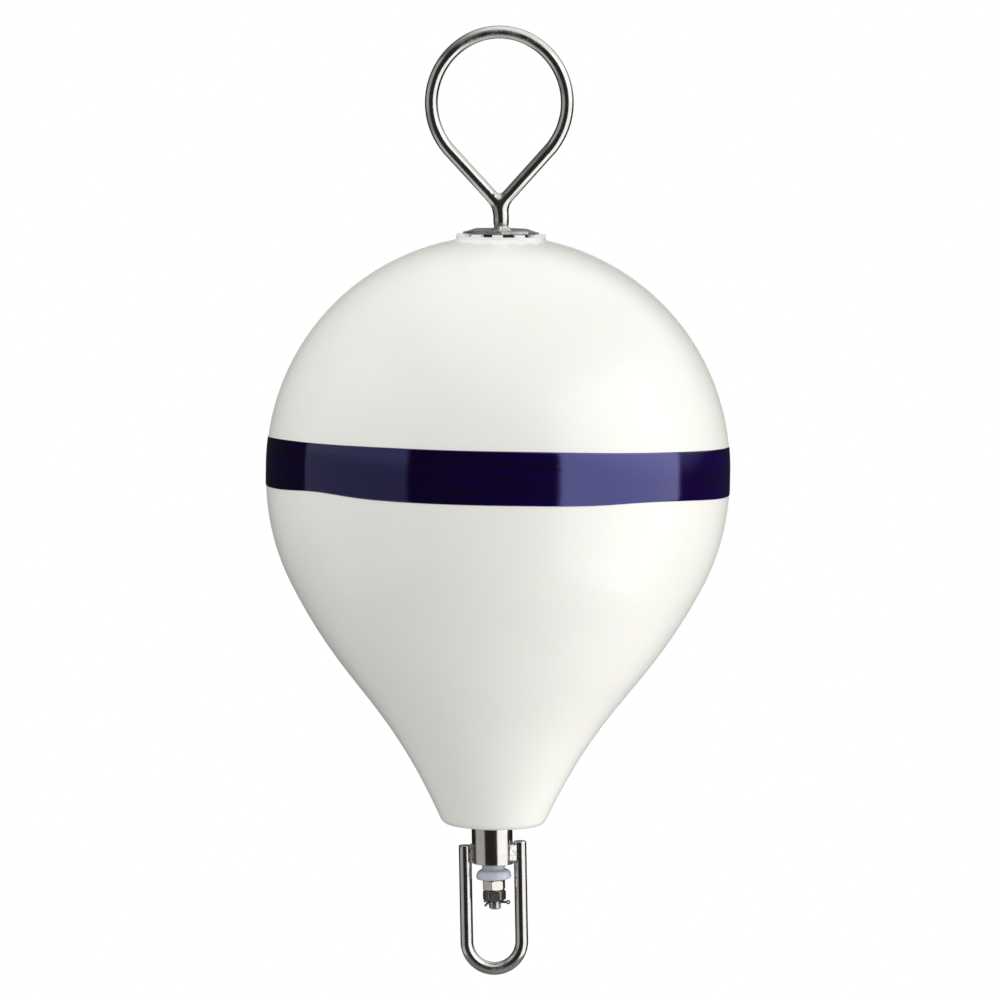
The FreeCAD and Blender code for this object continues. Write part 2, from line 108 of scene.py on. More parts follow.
def cell_points(value, low, step):
    """Points at the mean of the crossings in each grid cell that the surface crosses, and their numbers' grid."""
    inside = value < 0
    corner = [(a, b, c) for a in (0, 1) for b in (0, 1) for c in (0, 1)]
    n = [s - 1 for s in value.shape]
    count = sum(inside[a:a + n[0], b:b + n[1], c:c + n[2]].astype(np.int8) for a, b, c in corner)
    cells = np.argwhere((count > 0) & (count < 8))
    index = -np.ones(n, np.int64)
    index[tuple(cells.T)] = np.arange(len(cells))
    total = np.zeros((len(cells), 3))
    hits = np.zeros(len(cells))
    for p in range(8):
        for q in range(p + 1, 8):
            a, b = np.array(corner[p]), np.array(corner[q])
            if np.abs(a - b).sum() != 1:
                continue
            va = value[tuple((cells + a).T)]
            vb = value[tuple((cells + b).T)]
            cross = (va < 0) != (vb < 0)
            t = np.where(cross, va / np.where(cross, va - vb, 1), 0)[:, None]
            total += np.where(cross[:, None], a + (b - a) * t, 0)
            hits += cross
    return (cells + total / hits[:, None]) * step + np.array(low), index


def edge_quads(inside, index):
    """A quad for each grid edge that the surface crosses, through the points of the four cells round it."""
    n = index.shape
    quads = []
    for axis in range(3):
        u, v = [k for k in range(3) if k != axis]
        ahead = np.zeros(3, int)
        ahead[axis] = 1
        size = [s - 1 if k == axis else s for k, s in enumerate(inside.shape)]
        first = inside[:size[0], :size[1], :size[2]]
        second = inside[ahead[0]:, ahead[1]:, ahead[2]:]
        edge = np.argwhere(first != second)
        edge = edge[(edge[:, u] > 0) & (edge[:, v] > 0) & (edge[:, u] < n[u]) & (edge[:, v] < n[v])]
        outward = first[tuple(edge.T)]
        near = []
        for du, dv in ((1, 1), (0, 1), (0, 0), (1, 0)):
            cell = edge.copy()
            cell[:, u] -= du
            cell[:, v] -= dv
            near.append(index[tuple(cell.T)])
        quad = np.stack(near, -1)
        flip = outward if axis == 1 else ~outward
        quad[flip] = quad[flip][:, ::-1]
        quads.append(quad)
    quads = np.concatenate(quads)
    return quads[(quads >= 0).all(-1)].tolist()


def gradient(field, points):
    """Slope of a field at points, and its value there."""
    slope = np.empty_like(points)
    for k in range(3):
        step = np.zeros(3)
        step[k] = SLOPE_STEP
        slope[:, k] = (field(points + step) - field(points - step)) / (2 * SLOPE_STEP)
    return slope, field(points)


def surface(field, low, high, step):
    """Mesh where a distance field crosses zero between two corners: its points, faces and normals."""
    axes = [np.arange(a, b + step, step) for a, b in zip(low, high)]
    grid = np.stack(np.meshgrid(*axes, indexing="ij"), -1)
    value = np.empty(grid.shape[:3], np.float32)
    for k in range(grid.shape[0]):
        value[k] = field(grid[k])
    points, index = cell_points(value, low, step)
    for _ in range(ROUNDS):
        slope, here = gradient(field, points)
        shift = (here / np.maximum((slope ** 2).sum(-1), 1e-9))[:, None] * slope
        points -= np.clip(shift, -LONGEST_MOVE * step, LONGEST_MOVE * step)
    normal, _ = gradient(field, points)
    normal /= np.linalg.norm(normal, axis=-1, keepdims=True) + 1e-12
    return points, edge_quads(value < 0, index), normal


# Distance fields, in millimetres

def join(a, b, k):
    """Union of two fields with a rounded seam of width k."""
    h = np.maximum(k - np.abs(a - b), 0) / np.maximum(k, 1e-6)
    return np.minimum(a, b) - h ** 3 * k / 6


def overlap(a, b, k):
    """Common part of two fields with its edge rounded over k."""
    return -join(-a, -b, k)


def smoothstep(low, high, x):
    """Rises smoothly from 0 at low to 1 at high."""
    t = np.clip((x - low) / (high - low), 0, 1)
    return t * t * (3 - 2 * t)


def segment(p, a, b, ra, rb=None):
    """Round bar from a to b, its radius changing from ra to rb."""
    a, b = np.array(a, float), np.array(b, float)
    way = b - a
    t = np.clip(((p - a) @ way) / (way @ way), 0, 1)
    r = ra if rb is None else ra + (rb - ra) * t
    return np.linalg.norm(p - a - t[..., None] * way, axis=-1) - r


def planar_arc(p, centre, radius, start, end):
    """Distance to an arc in the XZ plane; angles from the top, clockwise as seen from the front."""
    x, z = p[..., 0] - centre[0], p[..., 2] - centre[1]
    angle = np.arctan2(x, z)
    middle = (start + end) / 2
    angle = (angle - middle + math.pi) % (2 * math.pi) - math.pi
    angle = np.clip(angle, -(end - start) / 2, (end - start) / 2) + middle
    dx, dz = x - radius * np.sin(angle), z - radius * np.cos(angle)
    return np.sqrt(dx * dx + dz * dz + p[..., 1] ** 2)


def ball(p, centre, radii):
    """Ellipsoid, as a rough distance."""
    q = (p - np.array(centre, float)) / np.array(radii, float)
    return (np.linalg.norm(q, axis=-1) - 1) * min(radii)


# Loop: it lies in the XZ plane and leans to the left. Pairs have 1 for the right side and -1 for the left

loop_up = np.array([-math.sin(LOOP_LEAN), 0, math.cos(LOOP_LEAN)])
loop_side = np.array([math.cos(LOOP_LEAN), 0, math.sin(LOOP_LEAN)])
meet = np.array([LOOP_MEET[0], 0, LOOP_MEET[1]])
loop_h = (FLANK_R + (FLANK_R - CROWN_R) * math.sin(LEG - CROWN_HALF)) / math.sin(LEG)
crown = meet + loop_up * loop_h
flank = {h: crown - (loop_up * math.cos(CROWN_HALF) + loop_side * h * math.sin(CROWN_HALF)) * (FLANK_R - CROWN_R)
         for h in (1, -1)}
leg_way = {h: loop_up * math.cos(LEG) + loop_side * h * math.sin(LEG) for h in (1, -1)}
leg_end = {h: flank[h] + (loop_side * h * math.cos(LEG) - loop_up * math.sin(LEG)) * FLANK_R for h in (1, -1)}

# The shank bends into the right leg
crossing = meet + leg_way[1] * (-meet[0] / leg_way[1][0])
bend_turn = LEG - LOOP_LEAN
setback = BEND_R * math.tan(bend_turn / 2)
bend_z = crossing[2] - setback
leg_start = crossing + leg_way[1] * setback

# The left leg comes down to the shank: its end tapers into the crotch, and its toe bends down along the shank
TAPER, TAPER_R = 6, 5.0
TOE_R, TOE_BAR_R = 28.0, 6.1
toe_turn = LEG + LOOP_LEAN
left_root = meet - leg_way[-1] * (meet[0] / leg_way[-1][0])
toe_z = left_root[2] - (ROD_R + TOE_R) * math.tan(toe_turn / 2)

# The weld: its seams are rounded below a height, and spatter sits beside it. A place and three radii each
WELD_FADE = (778, 788)
TOE_SEAM, CROTCH_SEAM, SPATTER_SEAM, NO_SEAM = 1.2, 8.5, 0.9, 1e-3
SPATTER = (((-12.8, -4.6, 778.1), (1.5, 1.3, 1.0)), ((-7.2, -4.6, 774.2), (1.9, 1.4, 1.3)))


def flank_arc(p, h):
    """Distance to the middle line of one of the two arcs beside the crown."""
    ends = sorted((h * CROWN_HALF - LOOP_LEAN, h * (math.pi / 2 + LEG) - LOOP_LEAN))
    return planar_arc(p, flank[h][::2], FLANK_R, *ends)


def loop_field(p):
    """Shank, bend, right leg, hoop and left leg of one round bar, welded in the crotch."""
    shank = segment(p, (0, 0, SHANK_LOW), (0, 0, bend_z), ROD_R)
    bend = planar_arc(p, (BEND_R, bend_z), BEND_R, -math.pi / 2, -math.pi / 2 + bend_turn) - ROD_R
    right = segment(p, leg_start, leg_end[1], ROD_R)
    body = np.minimum(np.minimum(shank, bend), right)
    top = planar_arc(p, crown[::2], CROWN_R, -CROWN_HALF - LOOP_LEAN, CROWN_HALF - LOOP_LEAN)
    hoop = np.minimum(np.minimum(flank_arc(p, 1), flank_arc(p, -1)), top) - ROD_R
    taper = meet + leg_way[-1] * TAPER
    left = np.minimum(segment(p, taper, leg_end[-1], ROD_R), segment(p, meet, taper, TAPER_R, ROD_R))
    toe = planar_arc(p, (-ROD_R - TOE_R, toe_z), TOE_R + TOE_BAR_R, math.pi / 2 - toe_turn, math.pi / 2) - TOE_BAR_R
    low = 1 - smoothstep(*WELD_FADE, p[..., 2])
    left = join(left, toe, TOE_SEAM * low + NO_SEAM)
    spatter = np.minimum(ball(p, *SPATTER[0]), ball(p, *SPATTER[1]))
    body = join(body, left, CROTCH_SEAM * low + NO_SEAM)
    body = join(body, spatter, SPATTER_SEAM * low + NO_SEAM)
    return np.minimum(body, hoop)


def bar_layer(points, *runs):
    """Place along a bar and across it, for drawn lines. Each run is a maker of places and what it takes."""
    best = np.full(len(points), 1e9)
    layer = np.zeros((len(points), 3))
    offset = 0.0
    for maker, *parts in runs:
        place, offset = maker(*parts, offset)
        along, across, distance = place(points)
        nearer = distance < best
        best[nearer] = distance[nearer]
        layer[nearer] = np.stack([along, across, points[:, 1]], -1)[nearer]
    return layer


def straight_place(a, b, offset):
    """Straight run from a to b: a function for along, across and distance, and where the run ends."""
    a, b = np.array(a, float), np.array(b, float)
    length = np.linalg.norm(b - a)
    d = (b - a) / length
    out = np.array([d[2], 0, -d[0]])

    def place(p):
        t = (p - a) @ d
        far = np.maximum(np.maximum(-t, t - length), 0)
        across = (p - a) @ out
        return offset + t, across, np.hypot(np.hypot(across, p[:, 1]), far)
    return place, offset + length


def arc_place(centre, radius, start, end, sign, offset):
    """The same for an arc travelled from start to end; sign is 1 where outward counts as across."""
    def place(p):
        x, z = p[:, 0] - centre[0], p[:, 2] - centre[1]
        angle = np.arctan2(x, z)
        middle = (start + end) / 2
        angle = (angle - middle + math.pi) % (2 * math.pi) - math.pi + middle
        low, high = min(start, end), max(start, end)
        far = np.maximum(np.maximum(low - angle, angle - high), 0) * radius
        across = np.hypot(x, z) - radius
        along = offset + (angle - start) * radius * (1 if end > start else -1)
        return along, across * sign, np.hypot(np.hypot(across, p[:, 1]), far)
    return place, offset + abs(end - start) * radius


# Materials

class Tree:
    """Short way to build a tree of shader nodes."""

    def __init__(self, tree):
        self.tree = tree
        self.tree.nodes.clear()

    def link(self, a, b):
        self.tree.links.new(a, b)

    def give(self, socket, value):
        """Links an output to a socket, or sets the socket to a value."""
        if isinstance(value, bpy.types.NodeSocket):
            self.link(value, socket)
        else:
            socket.default_value = value

    def add(self, kind, inputs=None, **props):
        node = self.tree.nodes.new("ShaderNode" + kind)
        for key, value in props.items():
            setattr(node, key, value)
        for key, value in (inputs or {}).items():
            self.give(node.inputs[key], value)
        return node

    def ramp(self, value, low, high, a=0.0, b=1.0):
        node = self.add("MapRange", {"Value": value, "From Min": low, "From Max": high, "To Min": a, "To Max": b})
        return node.outputs[0]

    def math(self, kind, *values):
        return self.add("Math", dict(enumerate(values)), operation=kind).outputs[0]

    def blend(self, factor, a, b):
        """Mix of two numbers."""
        return self.add("Mix", {"Factor": factor, "A": a, "B": b}, data_type="FLOAT").outputs[0]

    def mix(self, factor, a, b):
        """Mix of two colours."""
        node = self.add("Mix", data_type="RGBA")
        for name, value in (("Factor", factor), ("A", a), ("B", b)):
            self.give([s for s in node.inputs if s.name == name and s.enabled][0], value)
        return [s for s in node.outputs if s.enabled][0]


class Nodes(Tree):
    """Tree of a new material, with its output and one Principled shader."""

    def __init__(self, name):
        self.material = bpy.data.materials.new(name)
        self.material.use_nodes = True
        super().__init__(self.material.node_tree)
        self.out = self.add("OutputMaterial")
        self.shader = self.add("BsdfPrincipled")
        self.link(self.shader.outputs[0], self.out.inputs["Surface"])

    def set(self, **values):
        for key, value in values.items():
            self.give(self.shader.inputs[key.replace("_", " ")], value)

    def place(self, scale=(1, 1, 1), attribute=None):
        """Coordinates in metres, or a stored attribute in millimetres, scaled."""
        if attribute:
            source = self.add("Attribute", attribute_name=attribute).outputs["Vector"]
        else:
            source = self.add("TexCoord").outputs["Object"]
        return self.add("Mapping", {"Vector": source, "Scale": scale}).outputs[0]

    def axis(self, name):
        """X, Y or Z of the surface, in metres."""
        return self.add("SeparateXYZ", {0: self.place()}).outputs[name]

    def noise(self, scale, detail, rough, attribute=None):
        """Noise with a scale for each axis."""
        return self.add("TexNoise", {"Vector": self.place(scale, attribute), "Scale": 1.0, "Detail": detail,
                                     "Roughness": rough}).outputs["Fac"]

    def bump(self, height, strength, distance, normal=None):
        inputs = {"Height": height, "Strength": strength, "Distance": distance}
        if normal:
            inputs["Normal"] = normal
        return self.add("Bump", inputs).outputs[0]


def grey(value, warm=0.0):
    return (value * (1 + warm), value, value * (1 - warm), 1)


def steel(name, tone, rough, lines, line_depth, attribute=None, cloud=0.05, warm=0.015, lumps=0.0, bends=()):
    """Stainless steel with fine drawn or turned lines, clouded by handling.

    lines is the noise's scale along each axis, and depths are in millimetres. Each of bends is a height
    in metres where dull wear begins, the height where it is full, and the roughness there.
    """
    m = Nodes(name)
    fine = m.noise(lines, 4, 0.6, attribute)
    broad = m.noise((90, 90, 90), 4, 0.6)
    shade = m.math("ADD", m.math("MULTIPLY", fine, 0.5), m.math("MULTIPLY", broad, 0.5))
    m.set(Base_Color=m.mix(m.ramp(shade, 0.3, 0.7), grey(tone * (1 - cloud), warm), grey(tone * (1 + cloud), warm)),
          Metallic=1.0, Specular_Tint=(0.35, 0.35, 0.35, 1))
    gloss = m.ramp(shade, 0.3, 0.7, rough * 0.75, rough * 1.3)
    height = m.axis("Z")
    for begins, full, worn in bends:
        wear = m.math("MULTIPLY", m.ramp(height, begins, full, 0.0, worn), m.ramp(shade, 0.35, 0.6))
        gloss = m.math("MAXIMUM", gloss, wear)
    normal = m.bump(fine, 0.35, line_depth * MM)
    if lumps:
        normal = m.bump(m.noise((260, 260, 260), 2, 0.5), 0.6, lumps * MM, normal)
    m.set(Roughness=gloss, Normal=normal)
    return m.material


def weld_steel(name, tone):
    """Weld metal: lumpy, half bright and half dull."""
    m = Nodes(name)
    small = m.noise((900, 900, 900), 4, 0.6)
    wide = m.noise((300, 300, 300), 3, 0.5)
    m.set(Base_Color=m.mix(m.ramp(wide, 0.35, 0.65), grey(tone * 0.55, 0.03), grey(tone, 0.02)), Metallic=1.0,
          Roughness=m.ramp(small, 0.3, 0.7, 0.22, 0.40), Normal=m.bump(small, 0.4, 0.06 * MM))
    return m.material


def vinyl(painted_light_low, painted_light_high):
    """Thick off-white vinyl: glossy, faintly uneven, slightly clouded, and painted whiter on the hub's rim as
    painted light, so that the rim looks more brightly lit.
    """
    m = Nodes("white_vinyl")
    wide = m.noise((7, 7, 7), 3, 0.5)
    fine = m.noise((420, 420, 420), 3, 0.6)
    skin = m.mix(m.ramp(wide, 0.3, 0.7), (0.845, 0.836, 0.79, 1), (0.87, 0.861, 0.812, 1))
    # Painted light: from the lower height up, the colour turns whiter on the hub's rim so that the rim looks
    # brightly lit
    m.set(Base_Color=m.mix(m.ramp(m.axis("Z"), painted_light_low, painted_light_high), skin, (0.93, 0.925, 0.90, 1)),
          Roughness=m.ramp(fine, 0.3, 0.7, 0.19, 0.25), IOR=1.5, Subsurface_Weight=0.04, Subsurface_Scale=0.004,
          Normal=m.bump(fine, 0.25, 0.02 * MM, m.bump(wide, 0.3, 0.8 * MM)))
    return m.material


def navy_tape():
    """Glossy navy tape with long streaks of blue and violet, finely rippled across its width, and painted lighter
    and bluer towards +X as painted light from the right-hand lamps.
    """
    m = Nodes("navy_tape")
    streak = m.noise((5, 5, 330), 5, 0.65)
    # Painted light: towards +X, the side lit by the right-hand lamps, both streak colours turn lighter and bluer
    painted_light_side = m.ramp(m.axis("X"), -0.12, 0.20)
    dark = m.mix(painted_light_side, (0.0036, 0.0007, 0.0095, 1), (0.0072, 0.0002, 0.0280, 1))
    light = m.mix(painted_light_side, (0.0026, 0.0003, 0.0300, 1), (0.0032, 0.0001, 0.0850, 1))
    ripple = m.noise((14, 14, 1500), 3, 0.6)
    crease = m.noise((70, 70, 600), 3, 0.6)
    m.set(Base_Color=m.mix(m.ramp(streak, 0.46, 0.68), dark, light), Roughness=0.07, IOR=2.2,
          Specular_Tint=(0.40, 0.41, 1.0, 1),
          Normal=m.bump(ripple, 0.25, 0.06 * MM, m.bump(crease, 0.4, 0.20 * MM)))
    return m.material


def plate_steel():
    """Dull rolled plate with a rough, blotchy skin."""
    m = Nodes("plate_steel")
    mill = m.noise((450, 450, 900), 5, 0.7)
    wide = m.noise((90, 90, 300), 3, 0.5)
    m.set(Base_Color=m.mix(m.ramp(mill, 0.35, 0.7), grey(0.22), grey(0.60, 0.02)), Metallic=1.0,
          Roughness=m.ramp(wide, 0.3, 0.7, 0.32, 0.55), Normal=m.bump(mill, 0.5, 0.25 * MM))
    return m.material


def plain(name, color, rough, grain=500, depth=0.02, spread=0.06, **more):
    """Moulded plastic with a faint grain and a slight change of shade."""
    m = Nodes(name)
    fine = m.noise((grain, grain, grain), 3, 0.6)
    wide = m.noise((40, 40, 40), 3, 0.5)
    low = tuple(c * (1 - spread) for c in color) + (1,)
    high = tuple(min(c * (1 + spread), 1) for c in color) + (1,)
    m.set(Base_Color=m.mix(m.ramp(wide, 0.3, 0.7), low, high),
          Roughness=m.ramp(fine, 0.3, 0.7, rough * 0.8, rough * 1.2), Normal=m.bump(fine, 0.3, depth * MM), **more)
    return m.material


BAR = steel("polished_bar", 0.58, 0.16, (0.03, 1.8, 1.8), 0.05, "bar", cloud=0.12, warm=0.035, lumps=0.05,
            bends=((0.905, 0.925, 0.45), (0.022, 0.006, 0.45)))
TURNED = steel("turned_steel", 0.60, 0.15, (40, 40, 5000), 0.02, cloud=0.09, warm=0.045)
NUT = steel("nut_steel", 0.61, 0.18, (900, 900, 60), 0.05, cloud=0.12, warm=0.07)
DARK_NUT = steel("dark_nut_steel", 0.27, 0.38, (700, 700, 700), 0.08, cloud=0.2, warm=0.0)
PIN = steel("pin_steel", 0.24, 0.22, (500, 500, 500), 0.03)
THREAD = steel("thread_steel", 0.62, 0.16, (900, 900, 900), 0.03, warm=0.03)
WELD = weld_steel("weld_metal", 0.70)
BURNT = steel("burnt_steel", 0.07, 0.40, (900, 900, 900), 0.06, cloud=0.4)
PLATE = plate_steel()
VINYL = vinyl(0.7285, 0.7300)
TAPE = navy_tape()
NYLON = plain("nylon", (0.48, 0.53, 0.59), 0.42, 900, 0.03, 0.05, Subsurface_Weight=0.35, Subsurface_Scale=0.004)
BLACK = plain("black_plastic", (0.012, 0.012, 0.013), 0.5)
TUBE = plain("tube_plastic", (0.72, 0.72, 0.70), 0.45)
VALVE = plain("valve_plastic", (0.80, 0.79, 0.75), 0.35)

# The top bush is black plastic; seen through the hub's gaps, its black also stands in for the shade inside the hub
for node, material in {
        "shell": VINYL, "sleeve": TURNED, "top_plate": PLATE, "centre_tube": TUBE, "top_bush": BLACK,
        "bottom_bush": BLACK, "valve_body": VALVE, "valve_plug": VALVE, "ring_rod": BAR, "loop_weld": WELD,
        "plate_weld": WELD, "lock_nut": NUT, "end_nut": DARK_NUT, "split_pin": PIN, "girth_tape": TAPE, "bail": BAR,
        "bail_weld_left": WELD, "bail_weld_right": WELD, "swivel_bush": NYLON}.items():
    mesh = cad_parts[node].data
    mesh.materials.clear()
    mesh.materials.append(material)


# Loop and through rod

points, faces, normals = surface(loop_field, (-80, -7.8, 733), (74, 7.8, 942), 0.62)
loop = mesh_piece("pickup_loop", points, faces, "rod", "polished_bar", BAR, normals)
vector_layer(loop, "bar", bar_layer(
    points,
    (straight_place, (0, 0, SHANK_LOW), (0, 0, bend_z)),
    (arc_place, (BEND_R, bend_z), BEND_R, -math.pi / 2, -math.pi / 2 + bend_turn, 1),
    (straight_place, leg_start, leg_end[1]),
    (arc_place, flank[1][::2], FLANK_R, math.pi / 2 + LEG - LOOP_LEAN, CROWN_HALF - LOOP_LEAN, 1),
    (arc_place, crown[::2], CROWN_R, CROWN_HALF - LOOP_LEAN, -CROWN_HALF - LOOP_LEAN, 1),
    (arc_place, flank[-1][::2], FLANK_R, -CROWN_HALF - LOOP_LEAN, -math.pi / 2 - LEG - LOOP_LEAN, 1),
    (straight_place, leg_end[-1], meet)))
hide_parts("ring_rod", "loop_weld")


# Thread end of the rod, and the rod inside the float

THREAD_STEP, CREST_R, ROOT_R, THREAD_TOP, THREAD_ROW = 1.954, 6.05, 5.45, 80, 0.12
TIP_BEVEL, SHOULDER_Z = 1.1, 102.6
END_SHIFT, END_LEAN = 1.1, math.radians(3.2)


def threaded(r, z, a):
    """Raises a one-start thread from the root, fading out at both ends."""
    turn = (z / THREAD_STEP - a / (2 * math.pi)) % 1
    tooth = np.clip(1.5 - 3 * np.abs(turn - 0.5), 0, 1)
    depth = np.clip((z - TIP_Z - 0.3) / 1.2, 0, 1) * np.clip((THREAD_TOP - 0.5 - z) / 1.5, 0, 1)
    return np.where(z < THREAD_TOP, r + (CREST_R - ROOT_R) * tooth * depth, r), z


def end_shift(z):
    """How far the rod's knocked end stands to the side, below the bush."""
    return smoothstep(BUSH_LOW + 6, BUSH_LOW, z) * END_SHIFT + np.maximum(BUSH_LOW - z, 0) * math.tan(END_LEAN)


tip_r = ROOT_R - TIP_BEVEL
profile = [(0.01, TIP_Z), (tip_r - 0.2, TIP_Z), (tip_r, TIP_Z + 0.05)]
profile += [(tip_r + TIP_BEVEL * t, TIP_Z + 0.1 + t) for t in (0.3, 0.6, 1.0)]
profile += [(ROOT_R, z) for z in np.arange(TIP_Z + 1.25, THREAD_TOP, THREAD_ROW)]
profile += [(ROOT_R, SHOULDER_Z), (ROD_R, SHOULDER_Z), (ROD_R, SHOULDER_Z + 0.2), (ROD_R, PLATE_LOW - 2.8)]
profile += [(ROD_R, PLATE_LOW)]
points, faces = revolve(profile, 96, threaded)
points[:, 0] += end_shift(points[:, 2])
shank = mesh_piece("through_rod", points, faces, "rod", "polished_bar", THREAD)
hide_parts("ring_rod")


# Bail

BAIL_HALF, SKEW, LEG_ROUND, ABOVE_LEGS = 27.25, math.radians(1.8), 2.6, 140
BAIL_TOP = {-1: SLEEVE_LOW + 18.9, 1: SLEEVE_LOW + 22.1}
bail_z = SLEEVE_LOW - (SLEEVE_LOW - BAIL_HALF - ROD_R) / math.cos(SKEW)


def upright(p):
    """Points in the bail's own frame, before it was welded on askew."""
    x, z = p[..., 0], p[..., 2] - SLEEVE_LOW
    c, s = math.cos(SKEW), math.sin(SKEW)
    return np.stack([x * c + z * s, p[..., 1], -x * s + z * c + SLEEVE_LOW], -1)


def bail_field(p):
    """U of round bar, the ends of its legs rounded and at two heights."""
    q = upright(p)
    arch = planar_arc(q, (0, bail_z), BAIL_HALF, math.pi / 2, 3 * math.pi / 2) - ROD_R
    for h in (-1, 1):
        tube = np.hypot(q[..., 0] - h * BAIL_HALF, q[..., 1]) - ROD_R
        leg = overlap(np.maximum(tube, bail_z - q[..., 2]), q[..., 2] - BAIL_TOP[h], LEG_ROUND)
        arch = np.minimum(arch, leg)
    return arch


points, faces, normals = surface(bail_field, (-36, -7.2, -1), (38, 7.2, 137), 0.55)
bail = mesh_piece("mooring_bail", points, faces, "swivel", "polished_bar", BAR, normals)
vector_layer(bail, "bar", bar_layer(
    upright(points),
    (straight_place, (-BAIL_HALF, 0, ABOVE_LEGS), (-BAIL_HALF, 0, bail_z)),
    (arc_place, (0, bail_z), BAIL_HALF, -math.pi / 2, -3 * math.pi / 2, -1),
    (straight_place, (BAIL_HALF, 0, bail_z), (BAIL_HALF, 0, ABOVE_LEGS))))
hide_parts("bail")


# Sleeve: hangs askew on its bush, as the bail does, about the height HANG_Z

HANG_Z = 104


def askew(z):
    """How far the swivel stands to the side at a height."""
    return (HANG_Z - z) * math.tan(SKEW)


EDGE, BORE, BEVEL, ARC = 0.6, 9.75, 0.8, (0.4, 0.8, 1.2)
edge_r = SLEEVE_R - EDGE
profile = [(BORE, SLEEVE_LOW + BEVEL), (BORE + BEVEL, SLEEVE_LOW), (edge_r, SLEEVE_LOW)]
profile += [(edge_r + EDGE * math.sin(t), SLEEVE_LOW + EDGE - EDGE * math.cos(t)) for t in ARC]
profile += [(SLEEVE_R, z) for z in np.linspace(SLEEVE_LOW + EDGE, SLEEVE_TOP - EDGE, 9)]
profile += [(edge_r + EDGE * math.cos(t), SLEEVE_TOP - EDGE + EDGE * math.sin(t)) for t in ARC]
profile += [(edge_r, SLEEVE_TOP), (BORE + BEVEL, SLEEVE_TOP), (BORE, SLEEVE_TOP - BEVEL)]
profile += [(BORE, SLEEVE_LOW + BEVEL)]
points, faces = revolve(profile, 160)
points[:, 0] += askew(points[:, 2])
sleeve = mesh_piece("swivel_sleeve", points, faces, "swivel", "turned_steel", TURNED)
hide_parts("sleeve")


# Nylon bush: neck, rounded shoulder and rim, askew with the sleeve. Its outline goes from the neck down,
# across the underside and up the bore, which is wide enough for the askew bush to turn round the rod

NECK_R, BUSH_SHIFT, BUSH_LEAN = 11.35, 0.8, math.radians(3.0)
outline = [(NECK_R, 112.4), (NECK_R, 107.2), (11.5, 106.5), (12.1, 105.9), (13.3, 105.4), (14.6, 104.8),
           (15.7, 103.9), (16.6, 102.6), (17.15, 101.0), (17.4, 99.4), (17.3, 98.0), (16.7, 96.9), (15.6, 96.2),
           (12.4, 96.4), (8.3, 96.3), (7.9, 96.5), (7.8, 96.9), (7.8, 112.4), (NECK_R, 112.4)]
points, faces = revolve(outline, 128)
points[:, 2] += points[:, 0] * math.tan(BUSH_LEAN) * smoothstep(112, HANG_Z, points[:, 2])
points[:, 0] += askew(points[:, 2]) + BUSH_SHIFT
bush = mesh_piece("nylon_swivel_bush", points, faces, "swivel", "nylon", NYLON)
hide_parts("swivel_bush")


# Bail welds, in the groove between the sleeve and each leg, front and back

GROOVE_X, GROOVE_Y = 20.4, 4.4
CORE_X, CORE_R, CORE_INSET = 20.5, 2.6, 2.5
FILLET_START, FILLET_END, FILLET_R = np.array([16.2, 10.6]), np.array([21.8, 7.2]), 1.9


def fillet(p, h, low, high):
    """Smooth weld across the groove, between two heights."""
    q = np.stack([p[..., 0] * h, np.abs(p[..., 1])], -1)
    way = FILLET_END - FILLET_START
    t = np.clip(((q - FILLET_START) @ way) / (way @ way), 0, 1)
    off = np.linalg.norm(q - FILLET_START - t[..., None] * way, axis=-1)
    beyond = np.maximum(np.maximum(low - p[..., 2], p[..., 2] - high), 0)
    return np.hypot(off, beyond) - FILLET_R


def bead_field(h, low, high, size, pitch, seam, seed):
    """Row of overlapping weld ripples; the right-hand one (h is 1) has a smooth fillet over them."""
    pick = np.random.default_rng(seed)
    lumps = []
    for face in (-1, 1):
        z = low + 1.6
        while z < high - 1.2:
            wide = size + pick.uniform(-0.35, 0.35)
            centre = (h * (GROOVE_X + pick.uniform(-0.3, 0.3)), face * (GROOVE_Y + pick.uniform(-0.3, 0.3)), z)
            radii = (wide, size * 0.9 + pick.uniform(-0.3, 0.4), pitch * 0.85 + pick.uniform(-0.2, 0.4))
            lumps.append((centre, radii))
            z += pitch * pick.uniform(0.85, 1.2)

    def field(p):
        total = segment(p, (h * CORE_X, 0, low + CORE_INSET), (h * CORE_X, 0, high - CORE_INSET), CORE_R)
        if h > 0:
            total = join(total, fillet(p, h, low + 3.4, high - 2.2), 1.0)
        for centre, radii in lumps:
            total = join(total, ball(p, centre, radii), seam)
        return total
    return field


for name, node, h, low, high, *shape in (
        ("bail_bead_left", "bail_weld_left", -1, 112.2, 131.4, 3.0, 1.9, 0.6, 3),
        ("bail_bead_right", "bail_weld_right", 1, 113.2, 132.2, 2.9, 2.6, 1.2, 8)):
    near, far = sorted((h * 14.5, h * 27.5))
    points, faces, normals = surface(bead_field(h, low, high, *shape), (near - 2, -13.5, low - 2),
                                     (far + 2, 13.5, high + 2), 0.38)
    bead = mesh_piece(name, points, faces, "swivel", "weld_metal", WELD, normals)
    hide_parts(node)


def toe_field(middle, depth, low, high, seed):
    """Burnt, uneven toe of a weld along one leg, front and back."""
    pick = np.random.default_rng(seed)
    spots = []
    for face in (-1, 1):
        z = low + 3.0
        while z < high - 2.0:
            centre = (middle + pick.uniform(-0.6, 0.5), face * (depth + pick.uniform(-0.2, 0.2)), z)
            spots.append((centre, (pick.uniform(0.7, 1.2), 0.8, pick.uniform(0.9, 1.7))))
            z += pick.uniform(1.3, 2.5)

    def field(p):
        total = ball(p, *spots[0])
        for spot in spots[1:]:
            total = join(total, ball(p, *spot), 0.6)
        return total
    return field


